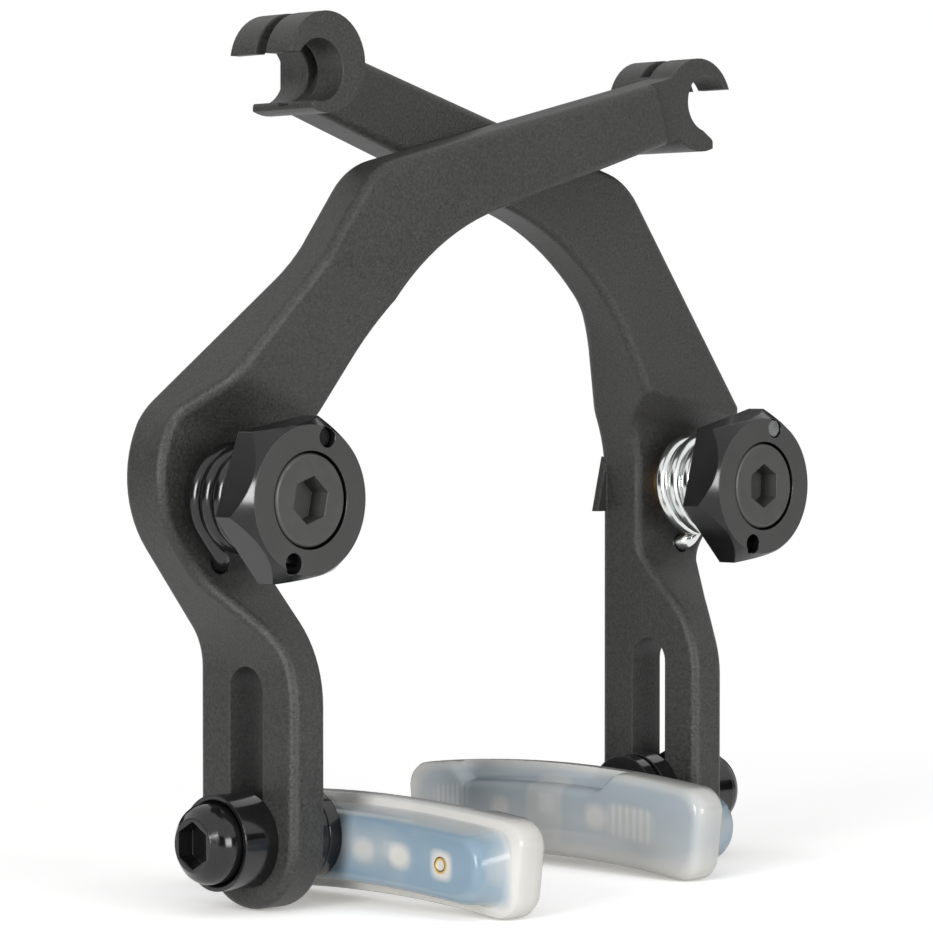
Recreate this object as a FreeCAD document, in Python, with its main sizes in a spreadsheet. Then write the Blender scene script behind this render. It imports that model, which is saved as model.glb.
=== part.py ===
"""U-brake: two crossing arms that swing on frame bosses and press pads on a wheel rim.

Frame: X runs across the wheel, +Y is towards the bicycle frame and +Z is up.
The origin is midway between the two pivots, on the plane where the arms meet the bosses.
The left arm pivots at minus X and its hook ends above the right arm, and the other way round.
All sizes are in millimetres.
"""
import FreeCAD
import Part
import Sketcher
import math
import os

SIZES = {
    # Pivots and arm levels, measured forward from the boss plane.
    "pivot_offset": 40.0,
    "plate_thickness": 6.7,
    "leg_depth": 16.8,
    "left_arm_front": 18.1,
    "arm_thickness": 6.2,
    "crossing_gap": 0.4,
    # Arm outline seen from the front, on the arm's own side of the middle.
    "leg_inner": 32.6,
    "leg_thickness": 5.4,
    "leg_length": 49.0,
    "flare_drop": 17.8,
    "flare_radius": 8.0,
    "eye_corner_across": 53.3,
    "eye_corner_height": 2.3,
    "eye_radius": 14.0,
    "crown_across": 25.6,
    "crown_height": 39.4,
    "crown_radius": 10.0,
    "tip_across": 29.5,
    "left_tip_top": 53.0,
    "right_tip_top": 54.7,
    "left_tip_bottom": 44.9,
    "right_tip_bottom": 46.0,
    "arch_across": 19.5,
    "arch_height": 30.1,
    "arch_radius": 38.0,
    "shoulder_height": 5.7,
    "shoulder_radius": 20.0,
    "stock_height": 64.0,
    "stock_reach": 60.0,
    # Arm outline seen from the side.
    "leg_end_radius": 8.3,
    "back_bend_height": 10.0,
    "back_bend_radius": 6.0,
    "left_back_top_height": 27.5,
    "right_back_top_height": 24.0,
    "back_top_radius": 8.0,
    "floor_top": 2.0,
    "floor_bottom": 8.8,
    "floor_radius": 4.0,
    "leg_ramp_drop": 18.8,
    "leg_ramp_radius": 14.0,
    "arm_edge_radius": 1.1,
    # Recess in the arm's front above the pivot, measured up the recess's own lean.
    "left_recess_lean": 20.0,
    "right_recess_lean": -10.0,
    "recess_start": 2.0,
    "recess_top": 6.5,
    "recess_foot_radius": 3.0,
    "recess_wall_top": 11.5,
    "recess_wall_depth": 13.3,
    "recess_bend_radius": 5.0,
    "recess_end": 29.0,
    "recess_end_depth": 18.3,
    "recess_reach": 26.0,
    # Lug at the inner edge of the right arm's eye.
    "lug_top": 3.6,
    "lug_drop": 3.6,
    "lug_reach": 1.8,
    "lug_root": 1.0,
    "lug_thickness": 1.0,
    # Leg slot.
    "slot_radius": 2.9,
    "slot_setback": 8.5,
    "slot_end_margin": 8.3,
    "slot_travel": 17.7,
    # Cable hook at the arm's end.
    "hook_across": 34.1,
    "left_hook_height": 49.6,
    "right_hook_height": 50.3,
    "hook_step": 0.8,
    "hook_step_top": 22.2,
    "hook_step_bottom": 25.8,
    "hook_back": 6.7,
    "hook_length": 10.6,
    "hook_bore_radius": 3.7,
    "hook_ring_radius": 6.0,
    "hook_ring_inset": 1.3,
    "left_ring_rise": -0.35,
    "right_ring_rise": 1.0,
    "hook_lip_reach": 1.1,
    "hook_lip_height": 1.55,
    "hook_lip_radius": 0.6,
    "hook_lip_root": 1.0,
    "hook_lip_root_drop": 3.5,
    "hook_mouth_rise": 1.9,
    "hook_mouth_reach": 9.0,
    "hook_slit_width": 1.8,
    "hook_slit_radius": 7.6,
    "hook_slit_across": 1.5,
    "hook_slit_rise": 3.5,
    # Pivot bushing and its stud.
    "stud_radius": 4.0,
    "stud_clearance": 0.03,
    "bushing_wall": 0.42,
    "bushing_length": 16.6,
    # Return spring.
    "wire_radius": 1.05,
    "coil_radius": 5.6,
    "coil_turns": 3.0,
    "spring_space": 10.2,
    "spring_end_gap": 0.05,
    "wire_bend_radius": 1.5,
    "arm_tang_across": 0.7,
    "arm_tang_drop": 7.9,
    "arm_tang_length": 3.0,
    "arm_tang_hole_depth": 4.0,
    "tang_hole_clearance": 0.15,
    "tang_recess": 0.8,
    # Spring adjuster.
    "adjuster_flats": 18.0,
    "adjuster_height": 5.1,
    "adjuster_face_radius": 8.75,
    "adjuster_cone_width": 2.2,
    "adjuster_cone_length": 3.5,
    "adjuster_hole_radius": 1.25,
    "adjuster_hole_offset": 7.75,
    "left_adjuster_turn": 20.0,
    "right_adjuster_turn": 16.0,
    "bolt_bore_clearance": 0.06,
    # Pivot bolt.
    "bolt_radius": 2.85,
    "bolt_tip": 1.0,
    "bolt_shoulder_radius": 3.3,
    "bolt_shoulder_proud": 0.2,
    "bolt_head_radius": 5.5,
    "bolt_head_height": 4.0,
    "bolt_head_clearance": 0.25,
    "bolt_head_rounding": 0.5,
    "bolt_socket_flats": 5.0,
    "bolt_socket_depth": 2.8,
    "left_bolt_turn": 12.0,
    "right_bolt_turn": 0.0,
    # Pad post and its washers and nut.
    "post_radius": 2.75,
    "post_start": 24.6,
    "post_end": 44.0,
    "slide_clearance": 0.05,
    "seat_clearance": 0.2,
    "washer_bore_clearance": 0.3,
    "cup_length": 5.0,
    "cup_radius": 5.7,
    "cup_seat_radius": 5.2,
    "cup_seat_depth": 2.6,
    "inner_cup_length": 2.7,
    "inner_cup_radius": 5.7,
    "inner_cup_seat_radius": 5.0,
    "inner_cup_seat_depth": 1.7,
    "ball_flange_radius": 5.5,
    "ball_flange_gap": 0.4,
    "ball_seat_inset": 0.1,
    "nut_seat_inset": 0.35,
    "nut_rise": 3.4,
    "nut_crown_across": 2.0,
    "nut_crown_radius": 4.8,
    "nut_crown_bend": 2.2,
    "nut_face_radius": 3.2,
    "nut_socket_flats": 5.0,
    "nut_socket_depth": 2.2,
    # Brake pad.
    "pad_face": 18.0,
    "pad_back": 27.6,
    "pad_rise": 4.7,
    "pad_drop": 7.1,
    "pad_length": 52.2,
    "pad_offset": 4.4,
    "pad_arc_radius": 205.0,
    "pad_edge_radius": 2.0,
    "insert_depth": 3.6,
    "insert_margin": 2.4,
    "insert_end_margin": 4.0,
}


class Size:
    """A length that carries both its number and the expression that gives it."""

    def __init__(self, value, text):
        self.value = value
        self.text = text

    def join(self, other, sign, value):
        return Size(value, f"({self.text} {sign} {as_size(other).text})")

    def __add__(self, other):
        return self.join(other, "+", self.value + as_size(other).value)

    def __sub__(self, other):
        return self.join(other, "-", self.value - as_size(other).value)

    def __mul__(self, other):
        return self.join(other, "*", self.value * as_size(other).value)

    def __truediv__(self, other):
        return self.join(other, "/", self.value / as_size(other).value)

    def __rmul__(self, other):
        return as_size(other) * self

    def __neg__(self):
        return Size(-self.value, f"(-1 * {self.text})")


def as_size(number):
    return number if isinstance(number, Size) else Size(float(number), repr(float(number)))


class Book:
    """Gives each named size of the sheet as an attribute."""

    def __getattr__(self, name):
        return Size(SIZES[name], "Sizes." + name)


S = Book()
doc = FreeCAD.newDocument("u_brake")


def write_sheet():
    sheet = doc.addObject("Spreadsheet::Sheet", "Sizes")
    for row, (name, value) in enumerate(SIZES.items(), start=1):
        sheet.set(f"A{row}", name)
        sheet.set(f"B{row}", str(value))
        sheet.setAlias(f"B{row}", name)
    doc.recompute()


def bind(item, place, size):
    item.setExpression(place, as_size(size).text)


def new_body(label):
    body = doc.addObject("PartDesign::Body", label)
    body.Label = label
    return body


def new_sketch(body, name, role, forward=None):
    """Starts a sketch on an origin plane of the body, moved along the plane's normal if asked."""
    plane = [item for item in body.Origin.OriginFeatures if item.Role == role][0]
    sketch = body.newObject("Sketcher::SketchObject", f"{body.Label}_{name}")
    sketch.AttachmentSupport = [(plane, "")]
    sketch.MapMode = "FlatFace"
    if forward is not None:
        bind(sketch, "AttachmentOffset.Base.z", forward)
    return sketch


def datum(sketch, kind, *places, size):
    """Adds one dimension to a sketch and ties it to the sheet."""
    index = sketch.addConstraint(Sketcher.Constraint(kind, *places, as_size(size).value))
    bind(sketch, f"Constraints[{index}]", size)


def pin_point(sketch, item, end, across, up):
    datum(sketch, "DistanceX", -1, 1, item, end, size=across)
    datum(sketch, "DistanceY", -1, 1, item, end, size=up)


def draw_circle(sketch, across, up, radius):
    centre = FreeCAD.Vector(as_size(across).value, as_size(up).value, 0)
    circle = Part.Circle(centre, FreeCAD.Vector(0, 0, 1), as_size(radius).value)
    item = sketch.addGeometry(circle, False)
    pin_point(sketch, item, 3, across, up)
    datum(sketch, "Radius", item, size=radius)


def draw_loop(sketch, corners):
    """Draws a closed outline. Each corner is across, up and, where it is rounded, a radius."""
    count = len(corners)
    points = [FreeCAD.Vector(as_size(c[0]).value, as_size(c[1]).value, 0) for c in corners]
    arcs = []
    for index, corner in enumerate(corners):
        point = points[index]
        if len(corner) < 3:
            arcs.append((point, point, None, None))
            continue
        radius = as_size(corner[2]).value
        before = (points[index - 1] - point).normalize()
        after = (points[(index + 1) % count] - point).normalize()
        half = before.getAngle(after) / 2
        reach = radius / math.tan(half)
        middle = point + (before + after).normalize() * (radius / math.sin(half))
        arcs.append((point + before * reach, point + after * reach, middle, radius))
    lines = []
    for index in range(count):
        start = arcs[index][1]
        stop = arcs[(index + 1) % count][0]
        lines.append(sketch.addGeometry(Part.LineSegment(start, stop), False))
    for index, corner in enumerate(corners):
        arriving, leaving = lines[index - 1], lines[index]
        enter, leave, middle, radius = arcs[index]
        if radius is None:
            sketch.addConstraint(Sketcher.Constraint("Coincident", arriving, 2, leaving, 1))
            pin_point(sketch, leaving, 1, corner[0], corner[1])
            continue
        first = math.atan2(enter.y - middle.y, enter.x - middle.x)
        last = math.atan2(leave.y - middle.y, leave.x - middle.x)
        turns_left = (enter - middle).cross(leave - middle).z > 0
        circle = Part.Circle(middle, FreeCAD.Vector(0, 0, 1), radius)
        ends = (first, last) if turns_left else (last, first)
        arc = sketch.addGeometry(Part.ArcOfCircle(circle, *ends), False)
        enter_end, leave_end = (1, 2) if turns_left else (2, 1)
        peak = sketch.addGeometry(Part.Point(points[index]), True)
        sketch.addConstraint(
            [
                Sketcher.Constraint("Tangent", arriving, 2, arc, enter_end),
                Sketcher.Constraint("Tangent", leaving, 1, arc, leave_end),
                Sketcher.Constraint("PointOnObject", peak, 1, arriving),
                Sketcher.Constraint("PointOnObject", peak, 1, leaving),
            ]
        )
        datum(sketch, "Radius", arc, size=corner[2])
        pin_point(sketch, peak, 1, corner[0], corner[1])


def draw_slot(sketch, across, low, high, radius):
    """Draws an upright slot from the centres of its two round ends."""
    middle, bottom, top, bend = (as_size(value).value for value in (across, low, high, radius))
    normal = FreeCAD.Vector(0, 0, 1)
    lower = Part.Circle(FreeCAD.Vector(middle, bottom, 0), normal, bend)
    upper = Part.Circle(FreeCAD.Vector(middle, top, 0), normal, bend)
    right = Part.LineSegment(
        FreeCAD.Vector(middle + bend, bottom, 0), FreeCAD.Vector(middle + bend, top, 0)
    )
    left = Part.LineSegment(
        FreeCAD.Vector(middle - bend, top, 0), FreeCAD.Vector(middle - bend, bottom, 0)
    )
    under = sketch.addGeometry(Part.ArcOfCircle(lower, math.pi, 2 * math.pi), False)
    rising = sketch.addGeometry(right, False)
    over = sketch.addGeometry(Part.ArcOfCircle(upper, 0, math.pi), False)
    falling = sketch.addGeometry(left, False)
    sketch.addConstraint(
        [
            Sketcher.Constraint("Tangent", under, 2, rising, 1),
            Sketcher.Constraint("Tangent", rising, 2, over, 1),
            Sketcher.Constraint("Tangent", over, 2, falling, 1),
            Sketcher.Constraint("Tangent", falling, 2, under, 1),
            Sketcher.Constraint("Equal", under, over),
        ]
    )
    datum(sketch, "Radius", under, size=radius)
    pin_point(sketch, under, 3, across, low)
    pin_point(sketch, over, 3, across, high)


def add_pad(body, sketch, length, both_ways=False):
    pad = body.newObject("PartDesign::Pad", sketch.Label + "_pad")
    pad.Profile = sketch
    pad.SideType = "Symmetric" if both_ways else "One side"
    bind(pad, "Length", length)
    doc.recompute()
    return pad


def cut(body, sketch, length=None):
    """Cuts a sketch through the body both ways, or by half the length on each side of it."""
    before = body.Shape.Volume
    pocket = body.newObject("PartDesign::Pocket", sketch.Label + "_cut")
    pocket.Profile = sketch
    pocket.SideType = "Symmetric"
    if length is None:
        pocket.Type = "ThroughAll"
    else:
        bind(pocket, "Length", length)
    doc.recompute()
    if body.Shape.Volume > before - 1e-6:
        raise ValueError(f"{sketch.Label} cuts nothing")
    return pocket


def turn_away(body, sketch, axis):
    """Cuts the sketch away all round one of its own axes."""
    before = body.Shape.Volume
    groove = body.newObject("PartDesign::Groove", sketch.Label + "_turned")
    groove.Profile = sketch
    groove.ReferenceAxis = (sketch, [axis])
    groove.Angle = 360
    doc.recompute()
    if body.Shape.Volume > before - 1e-6:
        raise ValueError(f"{sketch.Label} cuts nothing")
    return groove


def is_sharp(shape, edge):
    """True where the two faces beside the edge meet at a clear angle."""
    faces = shape.ancestorsOfType(edge, Part.Face)
    if len(faces) != 2:
        return False
    point = edge.valueAt((edge.FirstParameter + edge.LastParameter) / 2)
    normals = [face.normalAt(*face.Surface.parameter(point)) for face in faces]
    return normals[0].getAngle(normals[1]) > 0.3


def round_edges(body, radius, wanted):
    """Rounds the body's sharp edges for which the test holds."""
    base = body.Tip
    shape = base.Shape
    names = []
    for number, edge in enumerate(shape.Edges, start=1):
        if is_sharp(shape, edge) and wanted(edge):
            names.append(f"Edge{number}")
    fillet = body.newObject("PartDesign::Fillet", f"{body.Label}_edges_{len(body.Group)}")
    fillet.Base = (base, names)
    bind(fillet, "Radius", radius)
    doc.recompute()
    return fillet


def slot_bottom():
    """How far below the pivot the pad post's line is."""
    return S.leg_length - S.slot_end_margin


def arm_side_loop(side):
    """The arm seen from the side: deep leg, thin pivot eye and the upper arm that leans forward."""
    left_back = S.left_arm_front - S.arm_thickness
    right_front = left_back - S.crossing_gap
    if side < 0:
        front, back_top = S.left_arm_front, S.left_back_top_height
    else:
        front, back_top = right_front, S.right_back_top_height
    back = front - S.arm_thickness
    return [
        (as_size(0), -S.leg_length, S.leg_end_radius),
        (as_size(0), S.back_bend_height, S.back_bend_radius),
        (-back, back_top, S.back_top_radius),
        (-back, S.stock_height),
        (-front, S.stock_height),
        (-front, S.floor_top),
        (-S.plate_thickness, S.floor_top),
        (-S.plate_thickness, -S.floor_bottom, S.floor_radius),
        (-S.leg_depth, -S.leg_ramp_drop, S.leg_ramp_radius),
        (-S.leg_depth, -S.leg_length, S.leg_end_radius),
    ]


def arm_front_loop(side):
    """The arm seen from the front, from the leg's inner corner round the outside to the arch."""
    leg_outer = S.leg_inner + S.leg_thickness
    return [
        (side * S.leg_inner, -S.stock_height),
        (side * leg_outer, -S.stock_height),
        (side * leg_outer, -S.flare_drop, S.flare_radius),
        (side * S.eye_corner_across, S.eye_corner_height, S.eye_radius),
        (side * S.crown_across, S.crown_height, S.crown_radius),
        (-side * S.tip_across, S.left_tip_top if side < 0 else S.right_tip_top),
        (-side * S.tip_across, S.left_tip_bottom if side < 0 else S.right_tip_bottom),
        (side * S.arch_across, S.arch_height, S.arch_radius),
        (side * S.leg_inner, S.shoulder_height, S.shoulder_radius),
    ]


def make_arm(label, side):
    body = new_body(label)
    profile = new_sketch(body, "side", "YZ_Plane")
    draw_loop(profile, arm_side_loop(side))
    add_pad(body, profile, 2 * S.stock_reach, both_ways=True)
    outline = new_sketch(body, "front", "XZ_Plane")
    draw_loop(outline, arm_front_loop(side))
    edge = S.stock_reach + 1
    top = S.stock_height + 1
    draw_loop(outline, [(-edge, -top), (edge, -top), (edge, top), (-edge, top)])
    cut(body, outline)
    recess = new_sketch(body, "recess", "YZ_Plane", side * S.pivot_offset)
    lean = FreeCAD.Rotation(FreeCAD.Vector(1, 0, 0), 10)
    recess.AttachmentOffset = FreeCAD.Placement(recess.AttachmentOffset.Base, lean)
    recess_lean = S.left_recess_lean if side < 0 else -S.right_recess_lean
    bind(recess, "AttachmentOffset.Rotation.Angle", recess_lean)
    draw_loop(
        recess,
        [
            (-S.plate_thickness, -S.recess_start),
            (-S.plate_thickness, S.recess_top, S.recess_foot_radius),
            (-S.recess_wall_depth, S.recess_wall_top, S.recess_bend_radius),
            (-S.recess_end_depth, S.recess_end),
            (-S.recess_reach, S.recess_end),
            (-S.recess_reach, -S.recess_start),
        ],
    )
    cut(body, recess)
    tip = -side * S.tip_across.value
    round_edges(body, S.arm_edge_radius, lambda edge: abs(edge.CenterOfMass.x - tip) > 0.5)
    slot = new_sketch(body, "slot", "YZ_Plane")
    draw_slot(slot, -S.slot_setback, -slot_bottom(), S.slot_travel - slot_bottom(), S.slot_radius)
    cut(body, slot)
    eye = new_sketch(body, "eye", "XZ_Plane")
    draw_circle(eye, side * S.pivot_offset, 0, bushing_outer())
    cut(body, eye)
    tang = new_sketch(body, "tang_hole", "XZ_Plane", S.plate_thickness)
    tang_across = side * (S.pivot_offset + S.arm_tang_across)
    draw_circle(tang, tang_across, -S.arm_tang_drop, S.wire_radius + S.tang_hole_clearance)
    cut(body, tang, 2 * S.arm_tang_hole_depth)
    add_hook(body, -side)
    if side < 0:
        add_hook_step(body)
    else:
        add_lug(body)
    return body


def add_hook_step(body):
    """Sets the left hook's face back from the arm's front, along a slanted line."""
    step = new_sketch(body, "hook_step", "XZ_Plane", S.left_arm_front)
    top = S.left_tip_top + S.hook_ring_radius
    bottom = S.left_tip_bottom - S.hook_ring_radius
    slant = (S.hook_step_bottom - S.hook_step_top) / 2
    end = S.hook_across + S.hook_mouth_reach
    draw_loop(
        step,
        [
            (S.hook_step_top - slant, top),
            (S.hook_step_bottom + slant, bottom),
            (end, bottom),
            (end, top),
        ],
    )
    cut(body, step, 2 * S.hook_step)


def add_lug(body):
    """A small three-cornered lug at the inner edge of the eye, level with the arm's back."""
    lug = new_sketch(body, "lug", "XZ_Plane")
    draw_loop(
        lug,
        [
            (S.leg_inner, S.lug_top),
            (S.leg_inner - S.lug_reach, -S.lug_drop),
            (S.leg_inner + S.lug_root, -S.lug_drop),
            (S.leg_inner + S.lug_root, S.lug_top),
        ],
    )
    add_pad(body, lug, S.lug_thickness)


def bushing_outer():
    return S.stud_radius + S.stud_clearance + S.bushing_wall


def add_hook(body, side):
    """A round hook for the cable barrel, slit down the middle so that the cable can drop in."""
    across = side * S.hook_across
    height = S.left_hook_height if side > 0 else S.right_hook_height
    ring_rise = S.left_ring_rise if side > 0 else S.right_ring_rise
    ring_across = side * (S.hook_across - S.hook_ring_inset)
    ring_height = height + ring_rise
    ring = new_sketch(body, "hook_ring", "XZ_Plane", S.hook_back)
    draw_circle(ring, ring_across, ring_height, S.hook_ring_radius)
    add_pad(body, ring, S.hook_length)
    bore = new_sketch(body, "hook_bore", "XZ_Plane")
    draw_circle(bore, across, height, S.hook_bore_radius)
    cut(body, bore)
    mouth = new_sketch(body, "hook_mouth", "XZ_Plane")
    mouth_end = side * (S.hook_across + S.hook_mouth_reach)
    lip_tip = side * (S.hook_across + S.hook_lip_reach)
    ring_bottom = ring_height - S.hook_ring_radius
    draw_loop(
        mouth,
        [
            (across, height),
            (across - side * S.hook_lip_root, height - S.hook_lip_root_drop),
            (lip_tip, ring_bottom + S.hook_lip_height, S.hook_lip_radius),
            (lip_tip, ring_bottom - 1),
            (mouth_end, ring_bottom - 1),
            (mouth_end, height + S.hook_mouth_rise),
            (across, height + S.hook_mouth_rise),
        ],
    )
    cut(body, mouth)
    slit = new_sketch(body, "hook_slit", "XZ_Plane", S.hook_back + S.hook_length / 2)
    slit_across = side * (S.hook_across + S.hook_slit_across)
    draw_circle(slit, slit_across, height + S.hook_slit_rise, S.hook_slit_radius)
    cut(body, slit, S.hook_slit_width)


def hex_corners(flats):
    """A hexagon with two corners straight up and down, from its size across the flats."""
    side = flats / 2
    low = flats / (2 * math.sqrt(3))
    high = flats / math.sqrt(3)
    zero = as_size(0)
    return [(zero, high), (-side, low), (-side, -low), (zero, -high), (side, -low), (side, low)]


def turned_body(label, corners):
    """A body turned about X. Each corner is a distance along X and a radius from the axis."""
    body = new_body(label)
    sketch = new_sketch(body, "profile", "XY_Plane")
    draw_loop(sketch, corners)
    turned = body.newObject("PartDesign::Revolution", f"{label}_turned")
    turned.Profile = sketch
    turned.ReferenceAxis = (sketch, ["H_Axis"])
    turned.Angle = 360
    doc.recompute()
    return body


def place(body, across=None, back=None, up=None, turn=None):
    """Moves a body to its place. The turn is in degrees about Y, clockwise seen from the front."""
    if turn is not None:
        turning = FreeCAD.Rotation(FreeCAD.Vector(0, 1, 0), 10)
        body.Placement = FreeCAD.Placement(FreeCAD.Vector(), turning)
        bind(body, "Placement.Rotation.Angle", turn)
    for name, size in (("x", across), ("y", back), ("z", up)):
        if size is not None:
            bind(body, f"Placement.Base.{name}", size)


def place_on_side(body, side):
    """Puts a body that points outwards along X on one side of the brake, on the pad post's line."""
    if side < 0:
        half_turn = FreeCAD.Rotation(FreeCAD.Vector(0, 0, 1), 180)
        body.Placement = FreeCAD.Placement(FreeCAD.Vector(), half_turn)
    place(body, back=-S.slot_setback, up=-slot_bottom())


def make_bushing(label, side):
    body = new_body(label)
    sketch = new_sketch(body, "ring", "XZ_Plane")
    draw_circle(sketch, 0, 0, bushing_outer())
    draw_circle(sketch, 0, 0, S.stud_radius + S.stud_clearance)
    add_pad(body, sketch, S.bushing_length)
    place(body, across=side * S.pivot_offset)
    return body


def adjuster_back():
    return S.plate_thickness + S.spring_space


def adjuster_front():
    return adjuster_back() + S.adjuster_height


def bent_path(points, radius):
    """A wire through the points with its inner corners rounded."""
    edges = []
    start = points[0]
    for before, corner, after in zip(points, points[1:], points[2:]):
        back = (before - corner).normalize()
        ahead = (after - corner).normalize()
        half = back.getAngle(ahead) / 2
        reach = radius / math.tan(half)
        inner = (back + ahead).normalize()
        middle = corner + inner * (radius / math.sin(half) - radius)
        stop = corner + ahead * reach
        edges.append(Part.makeLine(start, corner + back * reach))
        edges.append(Part.Arc(corner + back * reach, middle, stop).toShape())
        start = stop
    edges.append(Part.makeLine(start, points[-1]))
    return Part.Wire(edges)


def around(radius, degrees, height):
    angle = math.radians(degrees)
    return FreeCAD.Vector(radius * math.cos(angle), radius * math.sin(angle), height)


def swept_wire(path):
    """Round spring wire along a path."""
    start = path.Edges[0]
    heading = start.tangentAt(start.FirstParameter)
    ring = Part.makeCircle(S.wire_radius.value, start.valueAt(start.FirstParameter), heading)
    return path.makePipeShell([Part.Wire([ring])], True, False)


def make_spring(label, side):
    """A coil with one straight tang into the arm and one into the adjuster, one winding per side."""
    radius = S.coil_radius.value
    arm_offset = math.hypot(S.arm_tang_across.value, S.arm_tang_drop.value)
    arm_angle = math.degrees(math.atan2(-S.arm_tang_drop.value, S.arm_tang_across.value))
    front_offset = S.adjuster_hole_offset.value
    turn = S.right_adjuster_turn.value if side > 0 else -S.left_adjuster_turn.value
    front_angle = 90 - turn
    arm_lead = math.sqrt(arm_offset**2 - radius**2)
    front_lead = math.sqrt(front_offset**2 - radius**2)
    begin = arm_angle + math.degrees(math.acos(radius / arm_offset))
    finish = front_angle - math.degrees(math.acos(radius / front_offset))
    sweep = 360 * S.coil_turns.value + (finish - begin) % 360
    run = math.radians(sweep) * radius
    margin = S.wire_radius.value + S.spring_end_gap.value
    slope = (S.spring_space.value - 2 * margin) / (run + arm_lead + front_lead)
    low = S.plate_thickness.value + margin
    first = low + arm_lead * slope
    last = first + run * slope
    helix = Part.makeHelix(2 * math.pi * radius * slope, last - first, radius)
    turned = FreeCAD.Rotation(FreeCAD.Vector(0, 0, 1), begin)
    helix.Placement = FreeCAD.Placement(FreeCAD.Vector(0, 0, first), turned)
    coil = swept_wire(Part.Wire(helix.Edges))
    bend = S.wire_bend_radius.value
    tail_end = S.plate_thickness.value - S.arm_tang_length.value
    tail_points = [
        around(arm_offset, arm_angle, tail_end),
        around(arm_offset, arm_angle, low),
        around(radius, begin, first),
    ]
    nose_end = adjuster_front().value - S.tang_recess.value
    nose_points = [
        around(radius, finish, last),
        around(front_offset, front_angle, last + front_lead * slope),
        around(front_offset, front_angle, nose_end),
    ]
    tail = swept_wire(bent_path(tail_points, bend))
    nose = swept_wire(bent_path(nose_points, bend))
    shape = coil.fuse([tail, nose]).Solids[0]
    shape.rotate(FreeCAD.Vector(), FreeCAD.Vector(1, 0, 0), 90)
    if side < 0:
        shape = shape.mirror(FreeCAD.Vector(), FreeCAD.Vector(1, 0, 0))
    spring = doc.addObject("Part::Feature", label)
    spring.Label = label
    spring.Shape = shape
    spring.Placement = FreeCAD.Placement(
        FreeCAD.Vector(side * S.pivot_offset.value, 0, 0), spring.Placement.Rotation
    )
    return spring


def make_adjuster(label, side):
    """A hexagon for a flat spanner with a coned face, two tang holes and a bed for the bolt head."""
    body = new_body(label)
    front = adjuster_front()
    hexagon = new_sketch(body, "hexagon", "XZ_Plane", adjuster_back())
    draw_loop(hexagon, hex_corners(S.adjuster_flats))
    add_pad(body, hexagon, S.adjuster_height)
    cone = new_sketch(body, "cone", "XY_Plane")
    cone_side = S.adjuster_face_radius + S.adjuster_cone_width
    draw_loop(
        cone,
        [
            (S.adjuster_face_radius, -front),
            (cone_side, -front),
            (cone_side, S.adjuster_cone_length - front),
        ],
    )
    turn_away(body, cone, "V_Axis")
    bed = new_sketch(body, "bed", "XZ_Plane", front)
    draw_circle(bed, 0, 0, S.bolt_head_radius + S.bolt_head_clearance)
    cut(body, bed, 2 * S.bolt_head_height)
    bore = new_sketch(body, "bore", "XZ_Plane", front)
    draw_circle(bore, 0, 0, S.bolt_shoulder_radius + S.bolt_bore_clearance)
    cut(body, bore)
    holes = new_sketch(body, "holes", "XZ_Plane", front)
    draw_circle(holes, 0, S.adjuster_hole_offset, S.adjuster_hole_radius)
    draw_circle(holes, 0, -S.adjuster_hole_offset, S.adjuster_hole_radius)
    cut(body, holes)
    turn = S.right_adjuster_turn if side > 0 else S.left_adjuster_turn
    place(body, across=side * S.pivot_offset, turn=turn)
    return body


def make_bolt(label, side):
    body = new_body(label)
    front = adjuster_front()
    head_back = front - S.bolt_head_height
    shank = new_sketch(body, "shank", "XZ_Plane", -S.bolt_tip)
    draw_circle(shank, 0, 0, S.bolt_radius)
    add_pad(body, shank, head_back + S.bolt_tip)
    shoulder_back = adjuster_back() - S.bolt_shoulder_proud
    shoulder = new_sketch(body, "shoulder", "XZ_Plane", shoulder_back)
    draw_circle(shoulder, 0, 0, S.bolt_shoulder_radius)
    add_pad(body, shoulder, head_back - shoulder_back)
    head = new_sketch(body, "head", "XZ_Plane", head_back)
    draw_circle(head, 0, 0, S.bolt_head_radius)
    add_pad(body, head, S.bolt_head_height)
    round_edges(body, S.bolt_head_rounding, lambda edge: abs(edge.CenterOfMass.y + front.value) < 0.01)
    socket = new_sketch(body, "socket", "XZ_Plane", front)
    draw_loop(socket, hex_corners(S.bolt_socket_flats))
    cut(body, socket, 2 * S.bolt_socket_depth)
    turn = S.right_bolt_turn if side > 0 else S.left_bolt_turn
    place(body, across=side * S.pivot_offset, turn=turn)
    return body


def washer_bore():
    return S.post_radius + S.washer_bore_clearance


def outer_cup_end():
    return S.leg_inner + S.leg_thickness + S.slide_clearance + S.cup_length


def make_outer_cup(label, side):
    end = outer_cup_end()
    start = end - S.cup_length
    body = turned_body(
        label,
        [
            (start, washer_bore()),
            (start, S.cup_radius),
            (end, S.cup_radius),
            (end, S.cup_seat_radius),
            (end - S.cup_seat_depth, washer_bore()),
        ],
    )
    place_on_side(body, side)
    return body


def make_nut(label, side):
    """The domed nut that sits in the outer cup washer and takes the end of the pad post."""
    cup_end = outer_cup_end()
    seat = cup_end - S.cup_seat_depth + S.seat_clearance
    slope = S.cup_seat_depth / (S.cup_seat_radius - washer_bore())
    rim = cup_end + S.seat_clearance - S.nut_seat_inset * slope
    face = cup_end + S.nut_rise
    body = turned_body(
        label,
        [
            (S.post_end, as_size(0)),
            (face, as_size(0)),
            (face, S.nut_face_radius),
            (cup_end + S.nut_crown_across, S.nut_crown_radius, S.nut_crown_bend),
            (rim, S.cup_seat_radius - S.nut_seat_inset),
            (seat, washer_bore()),
            (seat, S.post_radius),
            (S.post_end, S.post_radius),
        ],
    )
    socket = new_sketch(body, "socket", "YZ_Plane", face)
    draw_loop(socket, hex_corners(S.nut_socket_flats))
    cut(body, socket, 2 * S.nut_socket_depth)
    place_on_side(body, side)
    return body


def inner_cup_start():
    return S.leg_inner - S.slide_clearance - S.inner_cup_length


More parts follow.
